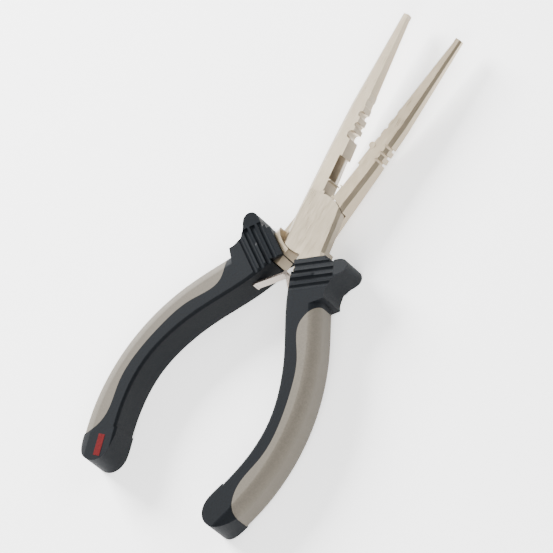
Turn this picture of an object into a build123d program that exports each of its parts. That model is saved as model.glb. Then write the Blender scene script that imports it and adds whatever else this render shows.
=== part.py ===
"""Long-nose fishing pliers, 213 mm long when closed, with a lap joint, a leaf spring and two-colour grips.

Frame: the pivot axis is Z, +Y points to the jaw tips, and z = 0 is the underside of the lap joint.
Each lever is drawn closed, beside x = 0, and the two are then opened by half the rest angle each way.
The left-hand lever is the right-hand one turned over about Y, as the two forgings are alike.
"""

from build123d import *

import os
from math import atan2, cos, degrees, hypot, radians, sin

# Driving dimensions, in millimetres and degrees
JOINT_T = 10.0  # thickness of the lap joint
MID_Z = JOINT_T / 2  # plane between the two lapped halves
OPEN_HALF = 7.3  # each lever's turn from closed to the sprung-open rest pose
JAW_LEN = 90.0  # pivot to jaw tip
JAW_GAP = 0.1  # half of the gap left between the closed jaws
LAP_R = 12.5  # radius of the lapped boss
SHOULDER_R = 12.75  # radius of the shoulder that the boss turns in
LAP_GAP = 0.05  # half of the gap between the lapped faces
RIVET_R = 3.2
RIVET_HEAD_R = 3.9
RIVET_HEAD_T = 1.0
RUN_CLEAR = 0.05  # running clearance round the rivet in the lower lever
BEVEL = 1.2  # bevel along the outside edges of the forging

TANG_HALF_T = 2.8
GRIP_HALF_T = 8.6  # half the thickness of the grips
NECK_HALF_T = 6.8  # half the thickness at the front of the neck
SKIN_T = 2.2  # thickness of the soft skin over the hard core
CAP_SWELL = 0.5  # how far the end cap stands proud of the grip
SPRING_T = 0.7  # thickness of the leaf spring
SPRING_HALF_W = 2.6  # half the width of the leaf
INNER_R = 1.3  # edge next to the other handle
OUTER_R = 5.0  # rounded edge in the palm

# Grip spine with the lever closed: x, y, width across the grip
SPINE = [
    (8.6, -19.0, 13.4),
    (11.4, -28.0, 13.6),
    (15.6, -38.0, 13.8),
    (20.6, -50.0, 13.4),
    (24.4, -64.0, 12.6),
    (25.7, -78.0, 12.0),
    (24.2, -92.0, 12.4),
    (20.4, -105.0, 13.2),
    (15.6, -116.0, 13.4),
    (12.0, -125.5, 13.4),
]
CAP_OUTLINE = [
    (30.5, -99.0),
    (27.8, -106.5),
    (24.2, -114.0),
    (20.4, -119.8),
    (16.2, -122.6),
    (12.0, -121.6),
    (9.6, -117.8),
    (10.0, -112.0),
    (12.2, -105.5),
    (13.4, -99.0),
]
CAP_LINE = [(4.0, -97.5), (30.0, -123.0)]  # where the end cap meets the grip
INLAY_OFFSET = -1.0  # inlay edge, from the spine towards the other handle
BADGE = (13.6, -115.4)
BADGE_L, BADGE_W, BADGE_T, BADGE_TURN = 8.6, 2.6, 0.5, -24.0
BADGE_PROUD = 0.1
# Jaw stations: distance from the pivot, width, half thickness, bevel
JAW = [
    (0.0, 7.9, 5.0, 1.5),
    (13.0, 7.5, 5.0, 1.5),
    (30.0, 7.3, 4.1, 1.5),
    (50.0, 6.5, 3.3, 1.4),
    (JAW_LEN, 2.7, 1.6, 0.8),
]
NECK_TURN = 25.5  # turn of the ribs from the X axis
RIB_DIR = Vector(cos(radians(NECK_TURN)), sin(radians(NECK_TURN)))
BACK_DIR = Vector(sin(radians(NECK_TURN)), -cos(radians(NECK_TURN)))
NECK_FRONT = Vector(6.7, -12.9)  # middle of the grip's front edge
RIB_PITCH = 3.0
RIB_COUNT = 4
FIRST_GROOVE = 2.9
GROOVE_R, GROOVE_DEPTH, GROOVE_LEN = 1.1, 0.65, 22.0
FACE_SKIM = 0.05  # taken off each face of the grip to leave it flat
SPRING_FOOT = (5.4, -31.2)  # axis of the leaf's hooked end, lever closed
HOOK_R, HOOK_GROOVE_R = 0.7, 0.95
LEAF_SWING = (23.1, 42.1)  # leaf's lean inside its own handle, jaws closed and jaws wide open
SLOT_REACH, SLOT_HALF_W = 7.0, 0.65
BEND_R = 0.8  # spring's bend between its leaves
BEND_Y = -20.8  # its distance behind the pivot at rest
BEND_GAP = 0.15  # between the bend and the leaf that moves on it
TALL = 60.0  # longer than any piece is wide or thick


def neck(along, back):
    """A point of the neck, along the ribs and back from the front edge."""
    point = NECK_FRONT + RIB_DIR * along + BACK_DIR * back
    return (point.X, point.Y)


# ------------------------------------------------------------------- spine

with BuildLine() as spine_wire:
    Spline(*[(x, y, MID_Z) for x, y, _ in SPINE])
spine = spine_wire.edges()[0]


def station_plane(index):
    """Section plane at a spine station: local x points to the palm, local y up."""
    x, y, _ = SPINE[index]
    back = spine.tangent_at(spine.param_at_point(Vector(x, y, MID_Z)))
    return Plane(origin=(x, y, MID_Z), x_dir=(-back.Y, back.X, 0), z_dir=back)


def rounded_section(plane, half_w, half_t, inner_r, outer_r):
    """Section face on a plane: small edge radii at -x, large ones at +x."""
    with BuildSketch(plane) as section:
        with BuildLine():
            Line((-half_w + inner_r, -half_t), (half_w - outer_r, -half_t))
            RadiusArc((half_w - outer_r, -half_t), (half_w, -half_t + outer_r), -outer_r)
            Line((half_w, -half_t + outer_r), (half_w, half_t - outer_r))
            RadiusArc((half_w, half_t - outer_r), (half_w - outer_r, half_t), -outer_r)
            Line((half_w - outer_r, half_t), (-half_w + inner_r, half_t))
            RadiusArc((-half_w + inner_r, half_t), (-half_w, half_t - inner_r), -inner_r)
            Line((-half_w, half_t - inner_r), (-half_w, -half_t + inner_r))
            RadiusArc((-half_w, -half_t + inner_r), (-half_w + inner_r, -half_t), -inner_r)
        make_face()
    return section.sketch


def grip_loft(first, last, grow, half_t, inner_r, outer_r):
    """Loft along the spine, with every section grown by the same amount."""
    sections = [
        rounded_section(station_plane(index), SPINE[index][2] / 2 + grow, half_t, inner_r, outer_r)
        for index in range(first, last + 1)
    ]
    with BuildPart() as blank:
        loft(sections=sections)
    return blank.part


def prism(points, low, high):
    """Straight-sided block on an outline in XY."""
    with BuildPart() as block:
        with BuildSketch(Plane.XY.offset(low)):
            with BuildLine():
                Polyline(*points, close=True)
            make_face()
        extrude(amount=high - low)
    return block.part


def disc(radius, low, high, centre=(0, 0)):
    """Upright cylinder between two heights."""
    with BuildPart() as block:
        with BuildSketch(Plane.XY.offset(low)):
            with Locations(centre):
                Circle(radius)
        extrude(amount=high - low)
    return block.part


# ------------------------------------------------------------------ forging


def jaw_blank():
    """Tapered half-jaw on the -x side with bevelled outside edges."""
    with BuildPart() as jaw:
        for y, width, half_t, bevel in JAW:
            with BuildSketch(Plane((0, y, MID_Z), x_dir=(1, 0, 0), z_dir=(0, -1, 0))):
                with BuildLine():
                    Polyline(
                        (-JAW_GAP, half_t),
                        (-width + bevel, half_t),
                        (-width, half_t - bevel),
                        (-width, -half_t + bevel),
                        (-width + bevel, -half_t),
                        (-JAW_GAP, -half_t),
                        close=True,
                    )
                make_face()
        loft(ruled=True)
    return jaw.part


def boss_plate():
    """Upper lapped half: jaw root, boss and shank crossing to +x."""
    with BuildPart() as plate:
        with BuildSketch(Plane.XY.offset(MID_Z + LAP_GAP)):
            with BuildLine():
                Polyline((-7.3, 13.0), (-7.9, 0.0), (-7.75, -9.81))
                ThreePointArc((-7.75, -9.81), (-3.4, -12.03), (1.2, -12.44))
                Polyline((1.2, -12.44), (1.1, -20.0), (13.2, -20.0), (10.2, -9.0), (9.8, 4.0), (9.5, 8.12))
                ThreePointArc((9.5, 8.12), (5.8, 11.07), (-JAW_GAP, 12.5))
                Line((-JAW_GAP, 12.5), (-7.3, 13.0))
            make_face()
        extrude(amount=MID_Z - LAP_GAP)
        rim = plate.faces().sort_by(Axis.Z)[-1].edges()
        side = rim.filter_by(GeomType.LINE).filter_by(lambda e: e.length > 3 and abs(e.center().X) > 6)
        chamfer(side, BEVEL)
    return plate.part


def shank_block():
    """Full-thickness shank behind the shoulder, beside the lower lapped half."""
    block = prism([(1.1, -5.0), (1.1, -20.0), (13.2, -20.0), (10.2, -9.0), (10.0, -5.0)], 0, MID_Z + LAP_GAP)
    turning_room = disc(SHOULDER_R, -1, MID_Z + LAP_GAP)
    with BuildPart() as shank:
        add(block)
        low_edges = shank.faces().sort_by(Axis.Z)[0].edges().sort_by(Axis.X)[-2:]
        chamfer(low_edges, BEVEL)
        add(turning_room, mode=Mode.SUBTRACT)
    return shank.part


def tang():
    """Flat tang inside the grip, along the spine."""
    with BuildPart() as bar:
        for index, half_w in ((0, 3.9), (1, 3.6), (2, 3.3), (3, 3.0), (4, 2.6), (5, 2.2)):
            with BuildSketch(station_plane(index)):
                Rectangle(2 * half_w, 2 * TANG_HALF_T)
        loft()
    return bar.part


TEETH_START, TOOTH_COUNT, TOOTH_PITCH, TOOTH_DEPTH = 56.0, 41, 0.8, 0.32
HOOK_NOTCHES = [(46.8, 1.2, 0.1), (42.4, 0.9, 0.0), (38.0, 1.7, 0.3)]  # y, radius, depth of centre
CUTTER_LOW, CUTTER_HIGH, CUTTER_DEPTH = 18.7, 29.0, 1.0
CRIMP_SLOTS = (33.8, 37.0, 40.2)
CRIMP_W, CRIMP_DEPTH = 1.1, 2.3


def tooth(y):
    """V groove across the gripping face."""
    half = TOOTH_PITCH / 2 - 0.05
    outline = [
        (0.2, y - half),
        (-JAW_GAP, y - half),
        (-JAW_GAP - TOOTH_DEPTH, y),
        (-JAW_GAP, y + half),
        (0.2, y + half),
    ]
    return prism(outline, -1, JOINT_T + 1)


def cutter_bevel(side):
    """What the cutting edge's bevel takes from one side of the jaw."""
    edge_z = MID_Z + side * 0.3
    root_z = MID_Z + side * 4.2
    outside_z = MID_Z + side * 8
    with BuildPart() as bevel:
        with BuildSketch(Plane.XZ.offset(-CUTTER_LOW)):
            with BuildLine():
                Polyline(
                    (0.5, edge_z),
                    (-JAW_GAP, edge_z),
                    (-JAW_GAP - CUTTER_DEPTH, root_z),
                    (-JAW_GAP - CUTTER_DEPTH, outside_z),
                    (0.5, outside_z),
                    close=True,
                )
            make_face()
        extrude(amount=-(CUTTER_HIGH - CUTTER_LOW))
    return bevel.part


def combine(first, adds=(), cuts=(), keep=None):
    """first with adds joined on and cuts taken away, trimmed to keep."""
    with BuildPart() as whole:
        add(first)
        for piece in adds:
            add(piece)
        for piece in cuts:
            add(piece, mode=Mode.SUBTRACT)
        if keep is not None:
            add(keep, mode=Mode.INTERSECT)
    return whole.part


def forging(is_crimper):
    """One lever, drawn as the upper one: jaw at -x, tang at +x."""
    below = (-1, MID_Z + LAP_GAP)
    everywhere = (-1, JOINT_T + 1)
    jaw = combine(
        jaw_blank(),
        cuts=[
            disc(SHOULDER_R, *below),
            prism([(-TALL, -TALL), (TALL, -TALL), (TALL, 0.5), (-TALL, 0.5)], *below),
            prism([(1, -1), (-20, -1), (-20, 6), (1, 6)], *everywhere),
        ],
    )
    cuts = [
        prism([(1, 13.6), (-0.9, 13.6), (-0.9, 18.2), (1, 18.2)], *everywhere),
        prism([(1, 49.6), (-0.4, 50.6), (-0.45, 53.0), (1, 55.4)], *everywhere),
        cutter_bevel(1),
        cutter_bevel(-1),
    ]
    cuts += [tooth(TEETH_START + number * TOOTH_PITCH) for number in range(TOOTH_COUNT)]
    adds = [boss_plate(), shank_block(), tang()]
    if is_crimper:
        slot_floor = -7.0 + CRIMP_DEPTH
        cuts += [
            prism([(-9, y), (slot_floor, y), (slot_floor, y + CRIMP_W), (-9, y + CRIMP_W)], *everywhere)
            for y in CRIMP_SLOTS
        ]
        cuts += [disc(0.8 * radius, *everywhere, (0.2, y)) for y, radius, _ in HOOK_NOTCHES[:2]]
        y, radius, depth = HOOK_NOTCHES[2]
        adds.append(disc(radius - 0.35, 1.1, JOINT_T - 1.1, (-JAW_GAP - depth + 0.2, y)))
    else:
        cuts += [disc(radius, *everywhere, (-JAW_GAP - depth, y)) for y, radius, depth in HOOK_NOTCHES]
    return combine(combine(jaw, cuts=cuts), adds)


def rivet_cut(radius, head_r, low, high):
    """Rivet solid, also used to bore the levers: shank with a flared head at each face."""
    with BuildPart() as pin:
        with BuildSketch(Plane.XZ):
            with BuildLine():
                Polyline(
                    (0, low),
                    (head_r, low),
                    (radius, low + RIVET_HEAD_T),
                    (radius, high - RIVET_HEAD_T),
                    (head_r, high),
                    (0, high),
                    close=True,
                )
            make_face()
        revolve(axis=Axis.Z)
    return pin.part


# -------------------------------------------------------------------- grips


def neck_block():
    """Front of the grip: ribbed neck and thumb guard, thinner towards the joint."""
    guard = [
        (9.6, 2.6), (12.6, 2.3), (14.9, 3.3), (15.5, 5.4),
        (14.0, 7.8), (10.8, 9.4), (8.2, 11.6), (6.4, 17.5),
    ]
    side = [(-1.0, NECK_HALF_T), (3.0, NECK_HALF_T + 0.6), (9.0, GRIP_HALF_T), (24.0, GRIP_HALF_T)]
    front_plane = Plane(
        origin=(NECK_FRONT.X, NECK_FRONT.Y, MID_Z),
        x_dir=(BACK_DIR.X, BACK_DIR.Y, 0),
        z_dir=(-RIB_DIR.X, -RIB_DIR.Y, 0),
    )
    with BuildPart() as wedge:
        with BuildSketch(front_plane):
            with BuildLine():
                Polyline(*side, *[(back, -half) for back, half in reversed(side)], close=True)
            make_face()
        extrude(amount=TALL, both=True)
    with BuildPart() as block:
        with BuildSketch(Plane.XY.offset(MID_Z - GRIP_HALF_T)):
            with BuildLine():
                Polyline(
                    neck(-6.4, 0.0), neck(6.4, 0.0), neck(6.4, 1.3),
                    neck(8.0, 1.3), neck(8.0, 2.6), neck(9.6, 2.6),
                )
                Spline(*[neck(along, back) for along, back in guard])
                Polyline(neck(6.4, 17.5), neck(-4.0, 20.0), neck(-6.0, 10.0), neck(-6.4, 0.0))
            make_face()
        extrude(amount=2 * GRIP_HALF_T)
        add(wedge.part, mode=Mode.INTERSECT)
    return block.part


def rib_grooves():
    """Grooves across both faces of the neck, as round bars to take away."""
    bars = []
    for number in range(RIB_COUNT):
        back = FIRST_GROOVE + RIB_PITCH * number
        surface = min(GRIP_HALF_T, NECK_HALF_T + 0.15 * (back + 1.0))
        for side in (1, -1):
            x, y = neck(-12, back)
            height = MID_Z + side * (surface + GROOVE_R - GROOVE_DEPTH)
            with BuildPart() as bar:
                rib_x = (BACK_DIR.X, BACK_DIR.Y, 0)
                rib_z = (RIB_DIR.X, RIB_DIR.Y, 0)
                with BuildSketch(Plane((x, y, height), x_dir=rib_x, z_dir=rib_z)):
                    Circle(GROOVE_R)
                extrude(amount=GROOVE_LEN)
            bars.append(bar.part)
    return bars


def inlay_region():
    """Upright block that holds the palm-side inlay, wherever the grip fills it."""
    edge = []
    for index in range(3, 7):
        plane = station_plane(index)
        point = plane.origin + plane.x_dir * INLAY_OFFSET
        edge.append((point.X, point.Y))
    with BuildPart() as block:
        with BuildSketch(Plane.XY.offset(-TALL / 2)):
            with BuildLine():
                Spline(
                    (19.6, -29.0), (16.4, -33.2), (14.9, -38.2),
                    *edge,
                    (19.2, -105.5), (20.0, -111.6), (23.2, -116.6),
                )
                Polyline((23.2, -116.6), (TALL, -130.0), (TALL, -20.0), (19.6, -29.0))
            make_face()
        extrude(amount=2 * TALL)
    return block.part


def cap_region():
    """Upright block behind the line where the end cap starts."""
    (x0, y0), (x1, y1) = CAP_LINE
    return prism([(x0, y0), (x1, y1), (x1, -150.0), (x0 - 20, -150.0), (x0 - 20, y0)], -TALL / 2, TALL)


def cap_trim():
    """Plan outline of the rounded end, closed round the front where nothing is trimmed."""
    with BuildPart() as block:
        with BuildSketch(Plane.XY.offset(-TALL / 2)):
            with BuildLine():
                Spline(*CAP_OUTLINE)
                Polyline(CAP_OUTLINE[-1], (-10.0, -80.0), (45.0, -80.0), CAP_OUTLINE[0])
            make_face()
        extrude(amount=2 * TALL)
    return block.part


def slab():
    """Room between the two flat faces of the grip."""
    low, high = MID_Z - GRIP_HALF_T + FACE_SKIM, MID_Z + GRIP_HALF_T - FACE_SKIM
    return prism([(-TALL, -2.5 * TALL), (TALL, -2.5 * TALL), (TALL, TALL), (-TALL, TALL)], low, high)


# ------------------------------------------------------------------- spring


def turned(point, angle):
    """A point of the closed drawing, turned about the pivot."""
    c, sn = cos(radians(angle)), sin(radians(angle))
    return (point[0] * c - point[1] * sn, point[0] * sn + point[1] * c)


def spring_leaf(length, barrel_r, gap):
    """Flat leaf along +Y from a barrel on Z at its foot, stopping short of the far axis by gap."""
    with BuildPart() as leaf:
        with BuildSketch(Plane.XY.offset(MID_Z - SPRING_HALF_W)):
            Circle(barrel_r)
            with Locations((0, (length - gap) / 2)):
                Rectangle(SPRING_T, length - gap)
        extrude(amount=2 * SPRING_HALF_W)
    return leaf.part


def spring_slot():
    """Recess in the inner wall of the grip, as wide as the leaf swings."""
    reach = SPRING_HALF_W + 0.3
    outline = []
    for lean, side, along in [(0, 1, 0), (0, 1, SLOT_REACH), (1, -1, SLOT_REACH), (1, -1, 0)]:
        angle = radians(LEAF_SWING[lean])
        x = SPRING_FOOT[0] - sin(angle) * along + side * cos(angle) * SLOT_HALF_W
        y = SPRING_FOOT[1] + cos(angle) * along + side * sin(angle) * SLOT_HALF_W
        outline.append((x, y))
    return prism(outline, MID_Z - reach, MID_Z + reach)


# ------------------------------------------------------------------ assembly

everything = len(SPINE) - 1
lever_cut = forging(False)
grip_bar = grip_loft(0, everything, 0, GRIP_HALF_T, INNER_R, OUTER_R)
grip = combine(grip_bar, [neck_block()], rib_grooves(), slab())
core = grip_loft(0, everything - 1, -SKIN_T, GRIP_HALF_T - SKIN_T, 1.0, 3.0)
swollen = grip_loft(5, everything, CAP_SWELL, GRIP_HALF_T, INNER_R, OUTER_R)
inlay_block = inlay_region()
cap_block = cap_region()
hook = disc(HOOK_GROOVE_R, MID_Z - SPRING_HALF_W - 0.3, MID_Z + SPRING_HALF_W + 0.3, SPRING_FOOT)

with BuildPart() as cap_blank:
    add(swollen)
    add(cap_block, mode=Mode.INTERSECT)
    add(cap_trim(), mode=Mode.INTERSECT)
    add(slab(), mode=Mode.INTERSECT)


slot = spring_slot()
shell = combine(grip, cuts=[core, lever_cut, inlay_block, cap_block, hook, slot])
inlay = combine(combine(grip, cuts=[core, cap_block]), keep=inlay_block)
end_cap = combine(cap_blank.part, cuts=[core])
hard_core = combine(core, cuts=[lever_cut, hook, slot])

upper_bore = rivet_cut(RIVET_R, RIVET_HEAD_R, 0, JOINT_T)
lower_bore = rivet_cut(RIVET_R + RUN_CLEAR, RIVET_HEAD_R + RUN_CLEAR, 0, JOINT_T)
badge_corners = [
    (-BADGE_W / 2, -BADGE_L / 2),
    (BADGE_W / 2, -BADGE_L / 2),
    (BADGE_W / 2, BADGE_L / 2),
    (-BADGE_W / 2, BADGE_L / 2),
]
badge_blank = prism(badge_corners, 0, BADGE_T)

# Opened poses. The left-hand pieces are the right-hand ones turned over about Y.
to_right = Location((0, 0, 0), (0, 0, OPEN_HALF))
turn_over = Location((0, 0, JOINT_T), (0, 180, 0))
to_left = Location((0, 0, 0), (0, 0, -OPEN_HALF)) * turn_over

foot_x, foot_y = turned(SPRING_FOOT, OPEN_HALF)
leaf_len = hypot(foot_x, foot_y - BEND_Y)
leaf_turn = degrees(atan2(foot_x, BEND_Y - foot_y))
to_right_foot = Location((foot_x, foot_y, 0), (0, 0, leaf_turn))
to_left_foot = Location((-foot_x, foot_y, 0), (0, 0, -leaf_turn))
to_badge = Location((BADGE[0], BADGE[1], MID_Z - GRIP_HALF_T + FACE_SKIM - BADGE_PROUD), (0, 0, BADGE_TURN))

bored_upper = combine(lever_cut, cuts=[upper_bore])
bored_lower = combine(forging(True), cuts=[lower_bore])
rear_leaf = spring_leaf(leaf_len, HOOK_R, 0)
front_leaf = spring_leaf(leaf_len, HOOK_R, BEND_R + BEND_GAP)
bend = disc(BEND_R, MID_Z - SPRING_HALF_W, MID_Z + SPRING_HALF_W, (0, leaf_len))

os.makedirs("parts", exist_ok=True)

with BuildPart() as upper_lever:
    with Locations(to_right):
        add(bored_upper)
upper_lever.part.label = "upper_lever"
export_step(upper_lever.part, "parts/upper_lever.step")

with BuildPart() as lower_lever:
    with Locations(to_left):
        add(bored_lower)
lower_lever.part.label = "lower_lever"
export_step(lower_lever.part, "parts/lower_lever.step")

with BuildPart() as right_grip_core:
    with Locations(to_right):
        add(hard_core)
right_grip_core.part.label = "right_grip_core"
export_step(right_grip_core.part, "parts/right_grip_core.step")

with BuildPart() as left_grip_core:
    with Locations(to_left):
        add(hard_core)
left_grip_core.part.label = "left_grip_core"
export_step(left_grip_core.part, "parts/left_grip_core.step")

with BuildPart() as right_grip_shell:
    with Locations(to_right):
        add(shell)
right_grip_shell.part.label = "right_grip_shell"
export_step(right_grip_shell.part, "parts/right_grip_shell.step")

with BuildPart() as left_grip_shell:
    with Locations(to_left):
        add(shell)
left_grip_shell.part.label = "left_grip_shell"
export_step(left_grip_shell.part, "parts/left_grip_shell.step")

with BuildPart() as right_grip_inlay:
    with Locations(to_right):
        add(inlay)
right_grip_inlay.part.label = "right_grip_inlay"
export_step(right_grip_inlay.part, "parts/right_grip_inlay.step")

with BuildPart() as left_grip_inlay:
    with Locations(to_left):
        add(inlay)
left_grip_inlay.part.label = "left_grip_inlay"
export_step(left_grip_inlay.part, "parts/left_grip_inlay.step")

with BuildPart() as right_end_cap:
    with Locations(to_right):
        add(end_cap)
right_end_cap.part.label = "right_end_cap"
export_step(right_end_cap.part, "parts/right_end_cap.step")

with BuildPart() as left_badge:
    with Locations(to_left * to_badge):
        add(badge_blank)
left_badge.part.label = "left_badge"
export_step(left_badge.part, "parts/left_badge.step")

with BuildPart() as left_end_cap:
    with Locations(to_left):
        add(end_cap)
    add(left_badge.part, mode=Mode.SUBTRACT)
left_end_cap.part.label = "left_end_cap"
export_step(left_end_cap.part, "parts/left_end_cap.step")

with BuildPart() as pivot_rivet:
    add(upper_bore)
pivot_rivet.part.label = "pivot_rivet"
export_step(pivot_rivet.part, "parts/pivot_rivet.step")

with BuildPart() as spring_rear_leaf:
    with Locations(to_right_foot):
        add(rear_leaf)
        add(bend)
spring_rear_leaf.part.label = "spring_rear_leaf"
export_step(spring_rear_leaf.part, "parts/spring_rear_leaf.step")

with BuildPart() as spring_front_leaf:
    with Locations(to_left_foot):
        add(front_leaf)
spring_front_leaf.part.label = "spring_front_leaf"
export_step(spring_front_leaf.part, "parts/spring_front_leaf.step")
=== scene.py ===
import math
import bpy
from mathutils import Matrix, Vector


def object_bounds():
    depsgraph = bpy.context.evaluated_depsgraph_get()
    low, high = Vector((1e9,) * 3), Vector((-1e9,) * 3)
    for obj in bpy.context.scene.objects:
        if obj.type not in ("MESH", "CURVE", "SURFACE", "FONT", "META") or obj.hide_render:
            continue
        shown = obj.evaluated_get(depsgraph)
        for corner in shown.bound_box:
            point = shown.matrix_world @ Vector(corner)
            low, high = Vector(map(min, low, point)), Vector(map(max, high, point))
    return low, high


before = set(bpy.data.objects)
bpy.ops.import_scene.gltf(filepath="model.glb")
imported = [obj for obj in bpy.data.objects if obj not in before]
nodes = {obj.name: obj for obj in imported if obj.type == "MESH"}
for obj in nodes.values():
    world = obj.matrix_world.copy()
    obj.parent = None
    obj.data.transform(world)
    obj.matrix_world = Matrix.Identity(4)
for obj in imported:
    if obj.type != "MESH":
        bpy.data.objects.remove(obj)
CAD_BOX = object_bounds()


# ---------------------------------------------------------------- materials

class Nodes:
    """A material's node tree, with short calls to add nodes and links."""

    def __init__(self, name):
        self.mat = bpy.data.materials.new(name)
        self.mat.use_nodes = True
        self.tree = self.mat.node_tree
        self.bsdf = self.tree.nodes["Principled BSDF"]
        self.coord = self.tree.nodes.new("ShaderNodeTexCoord").outputs["Object"]

    def put(self, socket, value):
        if isinstance(value, bpy.types.NodeSocket):
            self.tree.links.new(value, socket)
        else:
            socket.default_value = value

    def node(self, kind, inputs=None, **settings):
        n = self.tree.nodes.new(kind)
        for key, value in settings.items():
            setattr(n, key, value)
        for key, value in (inputs or {}).items():
            self.put(n.inputs[key], value)
        return n.outputs[0]

    def noise(self, scale, detail=3.0, rough=0.5, vector=None):
        inputs = {"Vector": vector or self.coord, "Scale": scale, "Detail": detail, "Roughness": rough}
        return self.node("ShaderNodeTexNoise", inputs)

    def voronoi(self, scale):
        return self.node("ShaderNodeTexVoronoi", {"Vector": self.coord, "Scale": scale})

    def ramp(self, value, low, high, a, b):
        inputs = {"Value": value, "From Min": low, "From Max": high, "To Min": a, "To Max": b}
        return self.node("ShaderNodeMapRange", inputs)

    def math(self, op, a, b=0.0):
        return self.node("ShaderNodeMath", {0: a, 1: b}, operation=op)

    def mix(self, factor, a, b):
        n = self.tree.nodes.new("ShaderNodeMix")
        n.data_type = "RGBA"
        self.put(n.inputs["Factor"], factor)
        self.put(n.inputs[6], a)
        self.put(n.inputs[7], b)
        return n.outputs[2]

    def stretch(self, scale, turn=0.0):
        inputs = {"Vector": self.coord, "Scale": scale, "Rotation": (0, 0, turn)}
        return self.node("ShaderNodeMapping", inputs)

    def bump(self, height, strength, distance, before=None):
        inputs = {"Height": height, "Strength": strength, "Distance": distance}
        if before is not None:
            inputs["Normal"] = before
        return self.node("ShaderNodeBump", inputs)

    def set(self, **values):
        for key, value in values.items():
            self.put(self.bsdf.inputs[key.replace("_", " ")], value)
        return self.mat


def nickel(name, base, dark, turn, rough=0.3, left=0.3, right=0.3):
    """Satin nickel: polishing lines along the jaws, faint cloudiness, and painted shade that darkens faces
    turned to -X or +X by the amounts left and right.
    """
    n = Nodes(name)
    split = n.tree.nodes.new("ShaderNodeSeparateXYZ")
    n.put(split.inputs[0], n.tree.nodes.new("ShaderNodeTexCoord").outputs["Normal"])
    # Painted shade: faces turned to -X or +X are darkened towards near-black, by up to left and right.
    left_side_shade = n.ramp(split.outputs["X"], -0.3, -0.9, 0.0, left)
    right_side_shade = n.ramp(split.outputs["X"], 0.3, 0.9, 0.0, right)
    side_shade = n.math("ADD", left_side_shade, right_side_shade)
    lines = n.noise(420, 4, 0.6, n.stretch((7, 0.5, 7), turn))
    cloud = n.noise(38, 3)
    fine = n.noise(2400, 2)
    colour = n.mix(n.ramp(cloud, 0.3, 0.75, 0.0, 0.8), base, dark)
    colour = n.mix(n.ramp(lines, 0.4, 0.75, 0.0, 0.06), colour, (0.95, 0.90, 0.84, 1))
    # Apply the painted shade on the side faces.
    colour = n.mix(side_shade, colour, (0.060, 0.048, 0.036, 1))
    rough_lines = n.ramp(lines, 0.3, 0.7, rough - 0.03, rough + 0.04)
    rough_map = n.math("ADD", rough_lines, n.ramp(cloud, 0.3, 0.7, -0.02, 0.03))
    height = n.bump(lines, 0.012, 0.000005)
    height = n.bump(fine, 0.05, 0.00001, height)
    return n.set(Base_Color=colour, Metallic=1.0, Roughness=rough_map, Normal=height)


def grained(name, base, light, rough, grain=0.25, scale=2200.0, spec=0.25):
    """Moulded soft plastic with a fine leathery grain."""
    n = Nodes(name)
    cells = n.voronoi(scale)
    soft = n.noise(scale * 0.6, 3, 0.6)
    cloud = n.noise(60, 3)
    both = n.math("ADD", n.math("MULTIPLY", cells, 0.5), soft)
    colour = n.mix(n.ramp(both, 0.45, 1.0, 0.0, 1.0), base, light)
    colour = n.mix(n.ramp(cloud, 0.35, 0.7, 0.0, 0.3), colour, light)
    rough_map = n.ramp(both, 0.4, 1.0, rough - 0.07, rough + 0.08)
    height = n.bump(both, grain, 0.00012)
    return n.set(Base_Color=colour, Roughness=rough_map, Normal=height, Specular_IOR_Level=spec)


def paint(node, material):
    mesh = nodes[node].data
    mesh.materials.clear()
    mesh.materials.append(material)


# left and right set how strongly each part's side faces get painted shade.
steel = nickel("satin_nickel", (0.53, 0.45, 0.33, 1), (0.47, 0.395, 0.285, 1), 0.0, left=0.8, right=0.6)
# Darker copy of the same nickel for the lower lever: painted shade, with its own painted side shade
# strengths.
shaded_steel = nickel("satin_nickel_shaded", (0.47, 0.39, 0.275, 1), (0.415, 0.34, 0.24, 1), 0.0, left=0.85, right=0.2)
leaf_mat = nickel("spring_nickel", (0.70, 0.60, 0.53, 1), (0.6, 0.5, 0.44, 1), 0.8, 0.25)
black = grained("black_grip", (0.0016, 0.0021, 0.0028, 1), (0.0045, 0.006, 0.008, 1), 0.58, spec=0.08)
grey = grained("grey_grip", (0.082, 0.071, 0.055, 1), (0.105, 0.092, 0.072, 1), 0.62, 0.12, 1500)
core_mat = grained("core_plastic", (0.02, 0.02, 0.02, 1), (0.03, 0.03, 0.03, 1), 0.6)
red = grained("red_badge", (0.055, 0.0006, 0.0012, 1), (0.08, 0.001, 0.002, 1), 0.4, 0.05, spec=0.1)

for name, material in {
    "upper_lever": steel, "lower_lever": shaded_steel, "pivot_rivet": steel,
    "spring_rear_leaf": leaf_mat, "spring_front_leaf": leaf_mat,
    "right_grip_shell": black, "left_grip_shell": black, "right_end_cap": black, "left_end_cap": black,
    "right_grip_inlay": grey, "left_grip_inlay": grey,
    "right_grip_core": core_mat, "left_grip_core": core_mat,
    "left_badge": red,
}.items():
    paint(name, material)

# -------------------------------------------------------------------- stage

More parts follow.
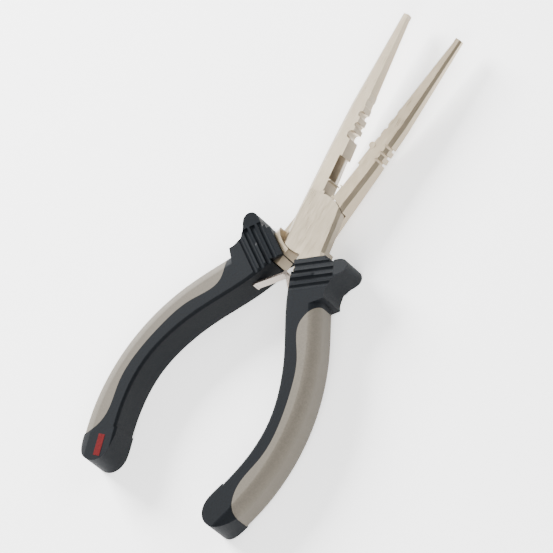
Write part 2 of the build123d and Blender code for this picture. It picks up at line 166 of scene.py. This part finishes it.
REST_Z = CAD_BOX[0].z
FLOOR_SIDE = 6.0
FLOOR_GLOW = 0.9
SKY_STRENGTH = 0.5
bpy.ops.mesh.primitive_plane_add(size=FLOOR_SIDE, location=(0, 0, REST_Z))
floor = bpy.context.object
floor.name = "floor"
sheet = Nodes("paper")
sheet.set(
    Base_Color=(0.96, 0.96, 0.96, 1), Roughness=0.9, Specular_IOR_Level=0.0,
    Emission_Color=(1, 1, 1, 1), Emission_Strength=FLOOR_GLOW,
)
floor.data.materials.append(sheet.mat)

world = bpy.data.worlds.new("studio")
bpy.context.scene.world = world
world.use_nodes = True
world.node_tree.nodes["Background"].inputs["Color"].default_value = (1, 1, 1, 1)
world.node_tree.nodes["Background"].inputs["Strength"].default_value = SKY_STRENGTH


def lamp(name, place, target, size, power, colour=(1, 1, 1)):
    data = bpy.data.lights.new(name, "AREA")
    data.shape, data.size, data.energy, data.color = "SQUARE", size, power, colour
    obj = bpy.data.objects.new(name, data)
    bpy.context.collection.objects.link(obj)
    obj.location = place
    obj.rotation_euler = (Vector(target) - Vector(place)).to_track_quat("-Z", "Y").to_euler()
    return obj


lamp("key", (-0.95, 0.20, 0.50), (0, 0, 0), 0.5, 62)
lamp("fill", (0.55, -0.75, 0.8), (0, 0, 0), 0.9, 22)
lamp("back", (0.5, 0.8, 0.8), (0, 0, 0), 0.8, 12)

# ------------------------------------------------------------------- camera

CAM_AZ, CAM_EL, CAM_ROLL, CAM_DIST = 78.465, 60.475, -49.308, 2.510
SENSOR_MM = 36.0
LENS_MM = 429.9168
SHIFT_X, SHIFT_Y = -0.022242, -0.007052
AIM = Vector((0, -0.020, 0.005))
az, el, roll = (math.radians(v) for v in (CAM_AZ, CAM_EL, CAM_ROLL))
back = Vector((math.sin(az) * math.cos(el), -math.cos(az) * math.cos(el), math.sin(el)))
right = Vector((math.cos(az), math.sin(az), 0))
up = back.cross(right)
right, up = right * math.cos(roll) + up * math.sin(roll), up * math.cos(roll) - right * math.sin(roll)
cam_data = bpy.data.cameras.new("camera")
cam = bpy.data.objects.new("camera", cam_data)
bpy.context.collection.objects.link(cam)
turn = Matrix((right, up, back)).transposed().to_4x4()
cam.matrix_world = Matrix.Translation(AIM + back * CAM_DIST) @ turn
cam_data.sensor_width = SENSOR_MM
cam_data.lens = LENS_MM
cam_data.shift_x = SHIFT_X
cam_data.shift_y = SHIFT_Y
cam_data.clip_start, cam_data.clip_end = 0.01, 20
bpy.context.scene.camera = cam

bpy.context.view_layer.update()
